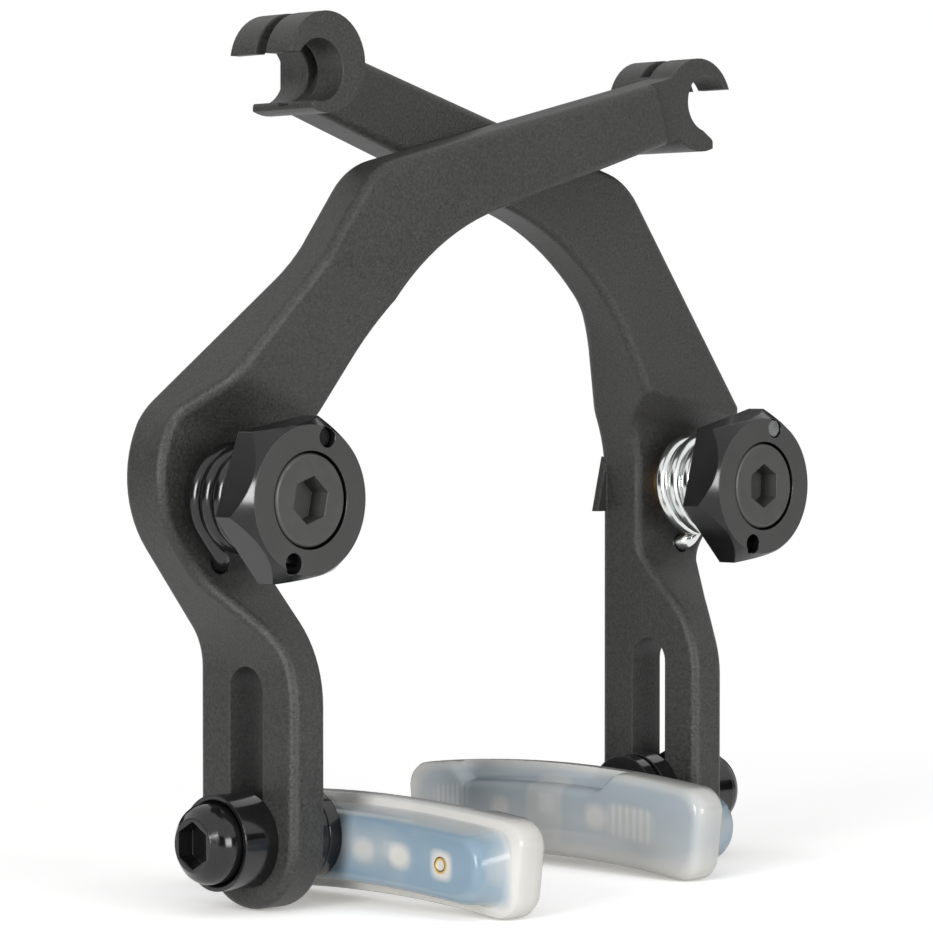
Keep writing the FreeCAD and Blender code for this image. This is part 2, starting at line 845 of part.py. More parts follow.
def make_inner_cup(label, side):
    start = inner_cup_start()
    end = start + S.inner_cup_length
    body = turned_body(
        label,
        [
            (start, S.inner_cup_radius),
            (end, S.inner_cup_radius),
            (end, washer_bore()),
            (start + S.inner_cup_seat_depth, washer_bore()),
            (start, S.inner_cup_seat_radius),
        ],
    )
    place_on_side(body, side)
    return body


def make_ball_washer(label, side):
    """The coned washer on the pad's back that seats in the inner cup washer."""
    cup = inner_cup_start()
    flange = cup - S.ball_flange_gap
    slope = S.inner_cup_seat_depth / (S.inner_cup_seat_radius - washer_bore())
    bore = S.post_radius + S.slide_clearance
    seat = cup + S.ball_seat_inset * slope - S.seat_clearance
    nose = cup + S.inner_cup_seat_depth - S.seat_clearance
    body = turned_body(
        label,
        [
            (S.pad_back, bore),
            (S.pad_back, S.ball_flange_radius),
            (flange, S.ball_flange_radius),
            (seat, S.inner_cup_seat_radius - S.ball_seat_inset),
            (nose, washer_bore()),
            (nose, bore),
        ],
    )
    place_on_side(body, side)
    return body


def make_post(label, side):
    body = new_body(label)
    sketch = new_sketch(body, "round", "YZ_Plane", S.post_start)
    draw_circle(sketch, 0, 0, S.post_radius)
    add_pad(body, sketch, S.post_end - S.post_start)
    place_on_side(body, side)
    return body


def arc_sketch(body, name, inner, outer, low, high):
    """A rectangle whose own across axis is the line that the pad is curved about."""
    sketch = new_sketch(body, name, "XZ_Plane", -S.pad_offset)
    bind(sketch, "AttachmentOffset.Base.y", -S.pad_arc_radius)
    bottom = S.pad_arc_radius + low
    top = S.pad_arc_radius + high
    draw_loop(sketch, [(inner, bottom), (outer, bottom), (outer, top), (inner, top)])
    return sketch


def sweep_arc(feature, sketch, length):
    feature.Profile = sketch
    feature.ReferenceAxis = (sketch, ["H_Axis"])
    feature.Midplane = True
    bind(feature, "Angle", length / S.pad_arc_radius * math.degrees(1))
    doc.recompute()


def insert_size():
    low = S.insert_margin - S.pad_drop
    high = S.pad_rise - S.insert_margin
    return S.pad_back - S.insert_depth, low, high, S.pad_length - 2 * S.insert_end_margin


def make_pad_block(label, side):
    """The curved rubber block, with a pocket in its back for the stiff insert."""
    body = new_body(label)
    block = arc_sketch(body, "block", S.pad_face, S.pad_back, -S.pad_drop, S.pad_rise)
    sweep_arc(body.newObject("PartDesign::Revolution", f"{label}_curved"), block, S.pad_length)
    round_edges(body, S.pad_edge_radius, lambda edge: True)
    inner, low, high, length = insert_size()
    pocket = arc_sketch(body, "pocket", inner, S.pad_back + 1, low, high)
    before = body.Shape.Volume
    sweep_arc(body.newObject("PartDesign::Groove", f"{label}_pocketed"), pocket, length)
    if body.Shape.Volume > before - 1e-6:
        raise ValueError(f"{label} has no pocket")
    cut_post_hole(body)
    place_on_side(body, side)
    return body


def cut_post_hole(body):
    hole = new_sketch(body, "hole", "YZ_Plane", S.pad_back)
    draw_circle(hole, 0, 0, S.post_radius)
    cut(body, hole, 2 * (S.pad_back - S.post_start))


def make_pad_insert(label, side):
    body = new_body(label)
    inner, low, high, length = insert_size()
    bar = arc_sketch(body, "bar", inner, S.pad_back, low, high)
    sweep_arc(body.newObject("PartDesign::Revolution", f"{label}_curved"), bar, length)
    cut_post_hole(body)
    place_on_side(body, side)
    return body


MAKERS = {
    "arm": make_arm,
    "bushing": make_bushing,
    "return_spring": make_spring,
    "adjuster": make_adjuster,
    "pivot_bolt": make_bolt,
    "pad_nut": make_nut,
    "outer_cup_washer": make_outer_cup,
    "inner_cup_washer": make_inner_cup,
    "ball_washer": make_ball_washer,
    "pad_post": make_post,
    "pad_block": make_pad_block,
    "pad_insert": make_pad_insert,
}


def main():
    write_sheet()
    pieces = []
    for word, side in (("left", -1), ("right", 1)):
        for name, make in MAKERS.items():
            pieces.append(make(f"{word}_{name}", side))
    doc.recompute()
    for item in doc.Objects:
        if "Invalid" in item.State or "Error" in item.State:
            raise ValueError(f"{item.Label} failed: {item.State}")
    for piece in pieces:
        if piece.Shape.isNull() or not piece.Shape.isValid():
            raise ValueError(f"{piece.Label} has no valid shape")
    os.makedirs("parts", exist_ok=True)
    for piece in pieces:
        piece.Shape.exportStep(f"parts/{piece.Label}.step")
        print(piece.Label, round(piece.Shape.Volume, 1))


main()
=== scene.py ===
"""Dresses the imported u-brake in its finishes and stands it in a plain pale studio.

The file is laid out as an add-on: sizes and colours are properties, each group of pieces is one
operator, and the panel in the sidebar lists them. It is run as a script. Lengths are in metres.
"""
import math

import bmesh
import bpy
from bpy.props import FloatProperty, FloatVectorProperty, PointerProperty
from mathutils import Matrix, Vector


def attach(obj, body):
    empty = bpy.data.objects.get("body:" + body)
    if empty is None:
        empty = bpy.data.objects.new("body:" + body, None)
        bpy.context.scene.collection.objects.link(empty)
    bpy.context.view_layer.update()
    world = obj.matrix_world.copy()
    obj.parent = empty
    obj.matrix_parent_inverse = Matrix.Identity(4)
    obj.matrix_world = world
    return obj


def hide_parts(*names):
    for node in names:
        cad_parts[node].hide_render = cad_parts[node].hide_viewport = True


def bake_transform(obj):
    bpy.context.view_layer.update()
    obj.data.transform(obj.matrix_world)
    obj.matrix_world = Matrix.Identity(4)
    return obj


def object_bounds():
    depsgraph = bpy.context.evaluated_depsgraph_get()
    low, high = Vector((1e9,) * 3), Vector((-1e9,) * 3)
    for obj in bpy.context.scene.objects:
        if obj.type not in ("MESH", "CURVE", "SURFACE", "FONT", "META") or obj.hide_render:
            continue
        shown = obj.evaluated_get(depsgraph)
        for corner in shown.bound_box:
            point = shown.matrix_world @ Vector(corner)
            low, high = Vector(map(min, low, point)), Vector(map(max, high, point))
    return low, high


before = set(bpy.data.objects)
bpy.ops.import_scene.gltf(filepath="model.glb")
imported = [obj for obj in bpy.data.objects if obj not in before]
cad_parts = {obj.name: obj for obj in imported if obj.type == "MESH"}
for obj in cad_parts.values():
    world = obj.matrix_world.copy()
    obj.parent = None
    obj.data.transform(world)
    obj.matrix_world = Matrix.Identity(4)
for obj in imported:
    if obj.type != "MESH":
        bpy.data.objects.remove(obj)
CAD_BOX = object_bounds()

bl_info = {
    "name": "U-brake",
    "version": (1, 0, 0),
    "blender": (4, 5, 0),
    "location": "View3D > Sidebar > U-brake",
    "description": "Finishes, springs, pads and studio of a u-brake",
    "category": "Object",
}

MM = 0.001
SIDES = (("left", -1), ("right", 1))
PIVOT_ACROSS = 40 * MM

# What the lamps and cards are turned to.
MIDDLE = Vector((0, -0.01, 0))

# The way in which the floor looks for open sky for its painted soft shadow. It leans that painted shadow to
# the back right.
PAINTED_SHADOW_LEAN = (-0.3, -0.62, 0.72)
FLOOR_GAP = 0.05 * MM
FLOOR_RADIUS = 3.0

# Lamps: name, property with the power, place, width and height.
LAMPS = (
    ("front_lamp", "front_power", (-0.1, -1.1, 0.13), 0.7, 0.3),
    ("side_lamp", "side_power", (-1.05, -0.35, 0.17), 0.35, 0.5),
    ("top_lamp", "top_power", (0.25, -0.2, 1.05), 0.9, 0.7),
)

# Black cards: name, place, width and height.
CARDS = (
    ("camera_card", (-0.64, -0.66, 0.05), 0.5, 0.5),
    ("left_card", (-0.7, 0.55, 0.06), 1.0, 0.7),
    ("back_card", (0.8, 0.8, 0.2), 1.6, 0.7),
    ("right_card", (0.75, -0.85, 0.0), 1.0, 0.6),
)

# Paler spots of the pads: strength, then a box (middle and half sizes along and up) and its blur in mm.
FACE_SPOTS = (
    (1.0, (8.6, -1.2, 1.6, 1.3), 0.9),
    (1.0, (-8.6, -1.2, 1.8, 1.6), 0.9),
    (0.6, (0.6, -1.2, 3.2, 4.4), 0.9),
)
BACK_SPOTS = (
    (1.0, (11.0, -1.2, 1.7, 1.4), 0.9),
    (0.5, (4.8, -1.2, 1.8, 1.4), 0.9),
    (1.1, (18.0, -1.2, 1.7, 1.7), 0.7),
    (0.5, (-3.0, -1.0, 16.0, 2.0), 3.0),
)


def colour_property(name, description, default):
    return FloatVectorProperty(
        name=name, description=description, default=default, size=4, min=0, max=1, subtype="COLOR"
    )


def length_property(name, description, millimetres):
    return FloatProperty(
        name=name, description=description, default=millimetres * MM, unit="LENGTH", precision=5
    )


def angle_property(name, description, degrees):
    return FloatProperty(
        name=name, description=description, default=math.radians(degrees), subtype="ANGLE"
    )


def number_property(name, description, default, unit="NONE"):
    return FloatProperty(name=name, description=description, default=default, unit=unit)


class BrakeFinishes(bpy.types.PropertyGroup):
    """Colours of the metal, rubber and plastic."""

    coat: colour_property("Coat", "Powder coat on the arms", (0.036, 0.036, 0.0345, 1))
    coat_grain: length_property("Coat grain", "Width of a grain of the powder coat", 0.36)
    adjuster: colour_property("Adjuster", "Blackened steel of the adjusters", (0.006, 0.006, 0.0065, 1))
    adjuster_face: colour_property("Adjuster face", "Turned face of the adjusters", (0.042, 0.042, 0.041, 1))
    bolt: colour_property("Bolt", "Blackened pivot bolts", (0.056, 0.056, 0.053, 1))
    clamp: colour_property("Clamp", "Gloss black nuts and washers", (0.006, 0.006, 0.0065, 1))
    bronze: colour_property("Bronze", "Sintered bushings", (0.42, 0.27, 0.12, 1))
    post: colour_property("Post", "Plated pad posts", (0.46, 0.46, 0.47, 1))
    black_wire: colour_property("Black wire", "Enamelled left spring", (0.007, 0.007, 0.008, 1))
    zinc_wire: colour_property("Zinc wire", "Plated right spring", (0.78, 0.8, 0.79, 1))
    rubber: colour_property("Rubber", "Clear pad rubber", (0.84, 0.82, 0.77, 1))
    rubber_tint: colour_property("Rubber tint", "Rubber over the blue insert", (0.31, 0.43, 0.53, 1))
    insert: colour_property("Insert", "Stiff insert of the pads", (0.08, 0.22, 0.38, 1))
    eyelet: colour_property("Eyelet", "Small eyelet in the insert", (0.72, 0.5, 0.2, 1))


class BrakeSpringSizes(bpy.types.PropertyGroup):
    """The return spring's wire and winding."""

    wire_radius: length_property("Wire radius", "Radius of the spring wire", 1.05)
    coil_radius: length_property("Coil radius", "Middle radius of the coil", 5.6)
    start: length_property("Start", "Distance of the coil space from the boss plane", 6.7)
    space: length_property("Space", "Room between arm and adjuster", 10.2)
    end_gap: length_property("End gap", "Air left at each end of the coil", 0.05)
    arm_tang_across: length_property("Arm tang across", "Arm tang beside the pivot", 0.7)
    arm_tang_drop: length_property("Arm tang drop", "Arm tang below the pivot", 7.9)
    arm_tang_length: length_property("Arm tang length", "Depth of the tang in the arm", 3.0)
    front_tang_offset: length_property("Front tang offset", "Adjuster hole from the pivot", 7.75)
    left_tang_end: length_property("Left tang end", "Left front tang's end from the boss plane", 21.2)
    right_tang_end: length_property("Right tang end", "Right front tang's end from the boss plane", 21.8)
    bend_radius: length_property("Bend radius", "Middle radius of the tang bends", 1.5)
    twist_inset: length_property("Twist inset", "Part of the room at each end that does not twist", 0.8)
    turns: number_property("Turns", "Full turns before the remainder", 3.0)
    left_turn: angle_property("Left turn", "Adjuster turn on the left", 20)
    right_turn: angle_property("Right turn", "Adjuster turn on the right", 16)


class BrakePadSizes(bpy.types.PropertyGroup):
    """The pad's own sizes, across from the wheel's middle and about the post's line."""

    face: length_property("Face", "Braking face from the middle plane", 18.0)
    step: length_property("Step", "Where the wide face part ends", 22.8)
    back: length_property("Back", "Back of the pad from the middle plane", 27.6)
    rise: length_property("Rise", "Pad above the post's line", 4.7)
    drop: length_property("Drop", "Pad below the post's line", 7.1)
    length: length_property("Length", "Pad along its arc", 52.2)
    offset: length_property("Offset", "Middle of the pad from the post, towards its long end", 4.4)
    arc_radius: length_property("Arc radius", "Radius that the pad is curved to", 205.0)
    post_back: length_property("Post back", "Post's line in front of the boss plane", 8.5)
    post_drop: length_property("Post drop", "Post's line below the pivots", 40.7)
    notch_depth: length_property("Notch depth", "Drop of the notch in the face's top edge", 2.6)
    notch_near: length_property("Notch near", "Notch towards the short end, from the pad's middle", 11.0)
    notch_far: length_property("Notch far", "Notch towards the long end, from the pad's middle", 17.5)
    notch_slope: length_property("Notch slope", "Length of the notch's sloping ends", 2.5)
    eyelet_along: length_property("Eyelet along", "Eyelet from the pad's middle", 18.0)
    eyelet_up: length_property("Eyelet up", "Eyelet above the post's line", -1.2)
    eyelet_hole: length_property("Eyelet hole", "Radius of the insert's hole for the eyelet", 1.3)
    insert_front: length_property("Insert front", "Insert's inner face from the middle plane", 23.9)
    insert_back: length_property("Insert back", "Insert's outer face from the middle plane", 27.0)
    insert_ends: length_property("Insert ends", "Rubber past each end of the insert", 4.0)
    insert_under: length_property("Insert under", "Rubber under the insert", 2.6)
    insert_over: length_property("Insert over", "Rubber over the insert", 2.5)
    insert_corner: length_property("Insert corner", "Radius of the insert's corners", 3.0)


class BrakeStage(bpy.types.PropertyGroup):
    """Camera, lamps and floor."""

    camera_place: FloatVectorProperty(
        name="Camera place", description="Where the camera stands", default=(-0.3535, -0.3619, 0.0152),
        size=3, subtype="TRANSLATION",
    )
    camera_turn: angle_property("Camera turn", "Camera heading", -44.92)
    camera_dip: angle_property("Camera dip", "Camera angle below level", 1.4)
    lens: number_property("Lens", "Focal length in millimetres on a 36 mm sensor", 154.17)
    front_power: number_property("Front lamp", "Power of the front lamp", 7.0, "POWER")
    side_power: number_property("Side lamp", "Power of the side lamp", 9.6, "POWER")
    top_power: number_property("Top lamp", "Power of the top lamp", 0.05, "POWER")
    room_light: number_property("Room light", "Light of the room on the object", 0.15)
    floor_colour: colour_property("Floor", "Pale studio floor", (0.86, 0.86, 0.85, 1))
    floor_lift: number_property("Floor lift", "Light that the pale floor gives itself", 0.72)
    # Painted shadow: the floor's own glow darkens towards this colour under the object, as far as the reach
    # below.
    painted_shadow_colour: colour_property("Shadow", "Floor right under the object", (0.2, 0.185, 0.15, 1))
    painted_shadow_reach: length_property("Shadow reach", "How far the soft shadow reaches", 32.0)
    floor_near: length_property("Floor near", "How far out the floor starts to fade", 70.0)
    floor_far: length_property("Floor far", "How far out the floor is plain white", 200.0)


class Wire:
    """A shader socket that takes part in Python sums. Each sum adds a Math node."""

    def __init__(self, shader, socket):
        self.shader = shader
        self.socket = socket

    def join(self, operation, first, second):
        return self.shader.node("ShaderNodeMath", {"operation": operation}, {0: first, 1: second})

    def __add__(self, other):
        return self.join("ADD", self, other)

    def __radd__(self, other):
        return self.join("ADD", other, self)

    def __sub__(self, other):
        return self.join("SUBTRACT", self, other)

    def __rsub__(self, other):
        return self.join("SUBTRACT", other, self)

    def __mul__(self, other):
        return self.join("MULTIPLY", self, other)

    def __rmul__(self, other):
        return self.join("MULTIPLY", other, self)

    def above(self, level):
        return self.join("GREATER_THAN", self, level)

    def lowest(self, other):
        return self.join("MINIMUM", self, other)

    def size(self):
        return self.join("ABSOLUTE", self, 0.0)

    def wave(self):
        return self.join("SINE", self, 0.0)


class Shader:
    """A node tree in the making, with one method that adds any node."""

    def __init__(self, tree):
        self.tree = tree

    def node(self, kind, settings=None, inputs=None, output=0):
        made = self.tree.nodes.new(kind)
        for name, value in (settings or {}).items():
            if name == "stops":
                while len(made.color_ramp.elements) < len(value):
                    made.color_ramp.elements.new(1.0)
                for element, (position, level) in zip(made.color_ramp.elements, value):
                    element.position = position
                    element.color = (level, level, level, 1)
            else:
                setattr(made, name, value)
        for name, value in (inputs or {}).items():
            self.feed(made.inputs[name], value)
        return Wire(self, made.outputs[output])

    def feed(self, socket, value):
        if isinstance(value, Wire):
            self.tree.links.new(value.socket, socket)
        else:
            socket.default_value = value


class Finish(Shader):
    """One material, with its usual textures."""

    def __init__(self, name):
        self.material = bpy.data.materials.new(name)
        self.material.use_nodes = True
        super().__init__(self.material.node_tree)
        self.surface = self.tree.nodes["Principled BSDF"]

    def give(self, sockets):
        for name, value in sockets.items():
            self.feed(self.surface.inputs[name], value)
        return self

    def place(self, output="Object"):
        return self.node("ShaderNodeTexCoord", output=output)

    def noise(self, where, width, detail=2.0, roughness=0.5):
        sockets = {"Vector": where, "Scale": 1 / width, "Detail": detail, "Roughness": roughness}
        return self.node("ShaderNodeTexNoise", inputs=sockets)

    def stretched(self, where, scale):
        return self.node("ShaderNodeVectorMath", {"operation": "MULTIPLY"}, {0: where, 1: scale})

    def ramp(self, value, stops):
        return self.node("ShaderNodeValToRGB", {"stops": stops}, {"Fac": value})

    def tint(self, mask, first, second):
        sockets = {0: mask, 6: first, 7: second}
        return self.node("ShaderNodeMix", {"data_type": "RGBA"}, sockets, output=2)

    def bump(self, height, strength, distance, normal=None):
        sockets = {"Height": height, "Strength": strength, "Distance": distance}
        if normal is not None:
            sockets["Normal"] = normal
        return self.node("ShaderNodeBump", inputs=sockets)

    def soft_edge(self, radius):
        return self.node("ShaderNodeBevel", {"samples": 6}, {"Radius": radius})

    def turned(self, across, width):
        """Fine rings about an axis along Y that stands at one distance across."""
        centred = self.node(
            "ShaderNodeVectorMath", {"operation": "SUBTRACT"}, {0: self.place(), 1: (across, 0, 0)}
        )
        flat = self.stretched(centred, (1, 0, 1))
        radius = self.node("ShaderNodeVectorMath", {"operation": "LENGTH"}, {0: flat}, output="Value")
        sockets = {"W": radius, "Scale": 1 / width, "Detail": 2.0}
        return self.node("ShaderNodeTexNoise", {"noise_dimensions": "1D"}, sockets)

    def soft_box(self, along, up, box, blur):
        """1 inside a box, given in millimetres by its middle and half sizes, fading over the blur."""
        middle_along, middle_up, half_along, half_up = (part * MM for part in box)
        past_end = (along - middle_along).size() - half_along
        past_edge = (up - middle_up).size() - half_up
        corner = {"operation": "SMOOTH_MAX"}
        outside = self.node("ShaderNodeMath", corner, {0: past_end, 1: past_edge, 2: 3 * blur})
        fade = {"operation": "MULTIPLY_ADD", "use_clamp": True}
        return self.node("ShaderNodeMath", fade, {0: outside, 1: -1 / blur, 2: 0.5})

    def spots(self, along, up, spots):
        """The sum of soft boxes, each with its own strength."""
        total = 0.0
        for strength, box, blur in spots:
            total = total + strength * self.soft_box(along, up, box, blur * MM)
        return total

    def facing_front(self):
        """1 where the surface looks forward, along minus Y, and 0 elsewhere."""
        parts = self.node("ShaderNodeSeparateXYZ", inputs={"Vector": self.place("Normal")}, output="Y")
        return (0 - parts).above(0.9)


def shade(colour, factor):
    return tuple(min(1.0, part * factor) for part in colour[:3]) + (1.0,)


def wear(nodes, material):
    """Gives a finish to CAD nodes through their material slots."""
    for name in nodes:
        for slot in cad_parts[name].material_slots:
            slot.material = material


def both(name):
    return [f"{word}_{name}" for word, _ in SIDES]


def link_mesh(name, mesh, material, body):
    piece = bpy.data.objects.new(name, mesh)
    bpy.context.scene.collection.objects.link(piece)
    mesh.materials.append(material)
    mesh.polygons.foreach_set("use_smooth", [True] * len(mesh.polygons))
    mesh.set_sharp_from_angle(angle=math.radians(35))
    if body:
        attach(piece, body)
    return piece


def coat_finish(looks):
    """Satin powder coat: fine grain with paler specks and a faintly uneven tone."""
    finish = Finish("arm_powder_coat")
    where = finish.place()
    grain = finish.noise(where, looks.coat_grain, 3.0, 0.6)
    cloud = finish.noise(where, 14 * MM, 3.0)
    specks = finish.ramp(finish.noise(where, looks.coat_grain * 0.6, 1.0), [(0.6, 0), (0.7, 1)])
    tone = 0.3 * cloud + 1.7 * grain + 0.3 * specks - 0.5
    colour = finish.tint(tone, shade(looks.coat, 0.4), shade(looks.coat, 1.6))
    normal = finish.bump(grain, 0.7, 0.14 * MM, finish.soft_edge(0.35 * MM))
    finish.give({"Base Color": colour, "Roughness": 0.34 + 0.2 * grain, "Normal": normal})
    return finish.give({"Specular IOR Level": 0.36}).material


def black_steel_finish(looks, word, side):
    """Gloss black flanks and a turned, duller front face."""
    finish = Finish(f"{word}_adjuster_steel")
    where = finish.place()
    face = finish.facing_front()
    rings = finish.turned(side * PIVOT_ACROSS, 0.12 * MM)
    film = finish.noise(where, 3 * MM, 3.0)
    flank = finish.tint(film, shade(looks.adjuster, 0.7), shade(looks.adjuster, 1.4))
    front_tone = 0.6 * rings + 0.4 * film
    front = finish.tint(front_tone, shade(looks.adjuster_face, 0.75), shade(looks.adjuster_face, 1.25))
    colour = finish.tint(face, flank, front)
    rough = 0.16 + 0.1 * film + face * (0.16 + 0.12 * rings)
    normal = finish.bump(rings * face, 0.1, 0.01 * MM, finish.soft_edge(0.22 * MM))
    finish.give({"Base Color": colour, "Roughness": rough, "Normal": normal})
    return finish.give({"Specular IOR Level": 0.5}).material


def bolt_finish(looks, word, side):
    """Satin blackened steel with faint turning marks and softly rounded edges."""
    finish = Finish(f"{word}_bolt_steel")
    rings = finish.turned(side * PIVOT_ACROSS, 0.16 * MM)
    film = finish.noise(finish.place(), 1.6 * MM, 4.0, 0.6)
    colour = finish.tint(0.35 * rings + 0.65 * film, shade(looks.bolt, 0.7), shade(looks.bolt, 1.3))
    normal = finish.bump(0.5 * rings + 0.5 * film, 0.08, 0.02 * MM, finish.soft_edge(0.15 * MM))
    finish.give({"Base Color": colour, "Roughness": 0.34 + 0.14 * film, "Normal": normal})
    return finish.give({"Specular IOR Level": 0.5}).material


def clamp_finish(looks):
    """Gloss black plating with soft streaks and a few dull spots."""
    finish = Finish("clamp_gloss_black")
    where = finish.place()
    streak = finish.noise(finish.stretched(where, (1, 0.25, 0.25)), 0.5 * MM, 3.0)
    dull = finish.ramp(finish.noise(where, 1.8 * MM, 4.0, 0.65), [(0.5, 0), (0.75, 1)])
    colour = finish.tint(streak, shade(looks.clamp, 0.6), shade(looks.clamp, 1.8))
    normal = finish.bump(streak, 0.05, 0.01 * MM, finish.soft_edge(0.25 * MM))
    finish.give({"Base Color": colour, "Roughness": 0.1 + 0.07 * streak + 0.12 * dull, "Normal": normal})
    return finish.give({"Specular IOR Level": 0.55}).material


def bare_metal_finish(name, colour, rough, grain_width):
    """Bare or plated metal with a fine grain."""
    finish = Finish(name)
    where = finish.place()
    grain = finish.noise(where, grain_width, 4.0, 0.6)
    cloud = finish.noise(where, grain_width * 12, 2.0)
    tone = finish.tint(0.5 * grain + 0.5 * cloud, shade(colour, 0.82), shade(colour, 1.15))
    normal = finish.bump(grain, 0.08, 0.01 * MM)
    finish.give({"Base Color": tone, "Roughness": rough + 0.14 * cloud, "Normal": normal})
    return finish.give({"Metallic": 1.0}).material


def enamel_wire_finish(looks):
    """Gloss black enamel over drawn wire."""
    finish = Finish("spring_black_enamel")
    where = finish.place()
    drawn = finish.noise(where, 0.5 * MM, 3.0)
    cloud = finish.noise(where, 3 * MM, 2.0)
    colour = finish.tint(cloud, shade(looks.black_wire, 0.6), shade(looks.black_wire, 2.0))
    normal = finish.bump(drawn, 0.06, 0.01 * MM)
    finish.give({"Base Color": colour, "Roughness": 0.14 + 0.1 * drawn, "Normal": normal})
    return finish.give({"Specular IOR Level": 0.6}).material


def rubber_finish(looks, sizes, word, side):
    """Clear, milky rubber. The insert shows through it as a blurred blue shape with paler openings."""
    finish = Finish(f"{word}_pad_clear_rubber")
    where = finish.place()
    across, back, height = (
        finish.node("ShaderNodeSeparateXYZ", inputs={"Vector": where}, output=name) for name in "XYZ"
    )
    along = side * (back + sizes.post_back) - sizes.offset
    up = height + sizes.post_drop + along * along * (0.5 / sizes.arc_radius)
    behind = (side * across).above(sizes.step)
    milk = finish.noise(where, 9 * MM, 3.0)
    skin = finish.noise(where, 1.4 * MM, 2.0)
    face_plate = finish.soft_box(along, up, (-1.0, -0.7, 25.0, 4.9), 1.8 * MM)
    face_plate = 0.6 * face_plate * (0.9 + up * (0.07 / MM)).lowest(1.0)
    back_plate = finish.soft_box(along, up, (0, -1.15, 24.6, 4.3), 1.1 * MM)
    plate = face_plate + behind * (back_plate - face_plate)
    rib = 0.5 + 0.5 * (along * (2 * math.pi / (1.2 * MM))).wave()
    fine_rib = 0.5 + 0.5 * (along * (2 * math.pi / (0.9 * MM))).wave()
    ribbed = (0.35 + 0.65 * rib) * finish.soft_box(along, up, (-14.6, -1.2, 4.0, 2.1), 0.7 * MM)
    fine_ribbed = 0.7 * fine_rib * finish.soft_box(along, up, (17.6, 0.2, 3.2, 1.5), 0.7 * MM)
    face_pale = finish.spots(along, up, FACE_SPOTS) + ribbed + fine_ribbed
    pale = face_pale + behind * (finish.spots(along, up, BACK_SPOTS) - face_pale)
    blue = plate * (1 - 0.85 * pale) * (0.7 + 0.6 * milk)
    colour = finish.tint(blue, shade(looks.rubber, 1.0), shade(looks.rubber_tint, 1.0))
    normal = finish.bump(skin, 0.04, 0.03 * MM)
    finish.give({"Base Color": colour, "Roughness": 0.12 + 0.1 * skin, "Normal": normal})
    finish.give({"Alpha": 0.72 + 0.12 * milk, "IOR": 1.42, "Specular IOR Level": 0.5})
    return finish.material


def insert_finish(looks):
    """Moulded blue plastic with a fine spark-eroded grain."""
    finish = Finish("pad_insert_plastic")
    where = finish.place()
    grain = finish.noise(where, 0.3 * MM, 2.0)
    cloud = finish.noise(where, 5 * MM, 2.0)
    colour = finish.tint(0.5 * grain + 0.5 * cloud, shade(looks.insert, 0.8), shade(looks.insert, 1.25))
    normal = finish.bump(grain, 0.2, 0.03 * MM)
    finish.give({"Base Color": colour, "Roughness": 0.36 + 0.16 * grain, "Normal": normal})
    return finish.material


def rounded(points, radius, steps=8):
    """The points of a path with its inner corners rounded."""
    path = [points[0]]
    for before, corner, after in zip(points, points[1:], points[2:]):
        back = (before - corner).normalized()
        ahead = (after - corner).normalized()
        half = back.angle(ahead) / 2
        middle = corner + (back + ahead).normalized() * (radius / math.sin(half))
        first = corner + back * (radius / math.tan(half)) - middle
        last = corner + ahead * (radius / math.tan(half)) - middle
        for step in range(steps + 1):
            path.append(middle + first.slerp(last, step / steps) * radius)
    path.append(points[-1])
    return path


def spring_path(sizes, side):
    """The middle of the wire: tang in the arm, coil, tang in the adjuster."""
    radius = sizes.coil_radius
    arm_offset = math.hypot(sizes.arm_tang_across, sizes.arm_tang_drop)
    arm_angle = math.atan2(-sizes.arm_tang_drop, sizes.arm_tang_across)
    front_offset = sizes.front_tang_offset
    front_angle = math.pi / 2 - (sizes.right_turn if side > 0 else -sizes.left_turn)
    arm_lead = math.sqrt(arm_offset**2 - radius**2)
    front_lead = math.sqrt(front_offset**2 - radius**2)
    begin = arm_angle + math.acos(radius / arm_offset)
    leave = front_angle - math.acos(radius / front_offset)
    sweep = 2 * math.pi * sizes.turns + (leave - begin) % (2 * math.pi)
    margin = sizes.wire_radius + sizes.end_gap
    slope = (sizes.space - 2 * margin) / (sweep * radius + arm_lead + front_lead)
    low = sizes.start + margin
    first = low + arm_lead * slope
    last = first + sweep * radius * slope

    def around(distance, angle, forward):
        across = side * (PIVOT_ACROSS + distance * math.cos(angle))
        return Vector((across, -forward, distance * math.sin(angle)))

    tail = [
        around(arm_offset, arm_angle, sizes.start - sizes.arm_tang_length),
        around(arm_offset, arm_angle, low),
        around(radius, begin, first),
    ]
    nose = [
        around(radius, begin + sweep, last),
        around(front_offset, front_angle, last + front_lead * slope),
        around(front_offset, front_angle, sizes.right_tang_end if side > 0 else sizes.left_tang_end),
    ]
    count = int(sweep / math.radians(4))
    coil = []
    for step in range(1, count):
        share = step / count
        coil.append(around(radius, begin + sweep * share, first + (last - first) * share))
    return rounded(tail, sizes.bend_radius) + coil + rounded(nose, sizes.bend_radius)


def tube_mesh(name, path, radius):
    """A round tube along a path, with closed ends."""
    curve = bpy.data.curves.new(name, "CURVE")
    curve.dimensions = "3D"
    curve.bevel_depth = radius
    curve.bevel_resolution = 7
    curve.use_fill_caps = True
    spline = curve.splines.new("POLY")
    spline.points.add(len(path) - 1)
    for point, place in zip(spline.points, path):
        point.co = (*place, 1)
    holder = bpy.data.objects.new(name, curve)
    bpy.context.scene.collection.objects.link(holder)
    shown = holder.evaluated_get(bpy.context.evaluated_depsgraph_get())
    mesh = bpy.data.meshes.new_from_object(shown)
    bpy.data.objects.remove(holder)
    bpy.data.curves.remove(curve)
    return mesh


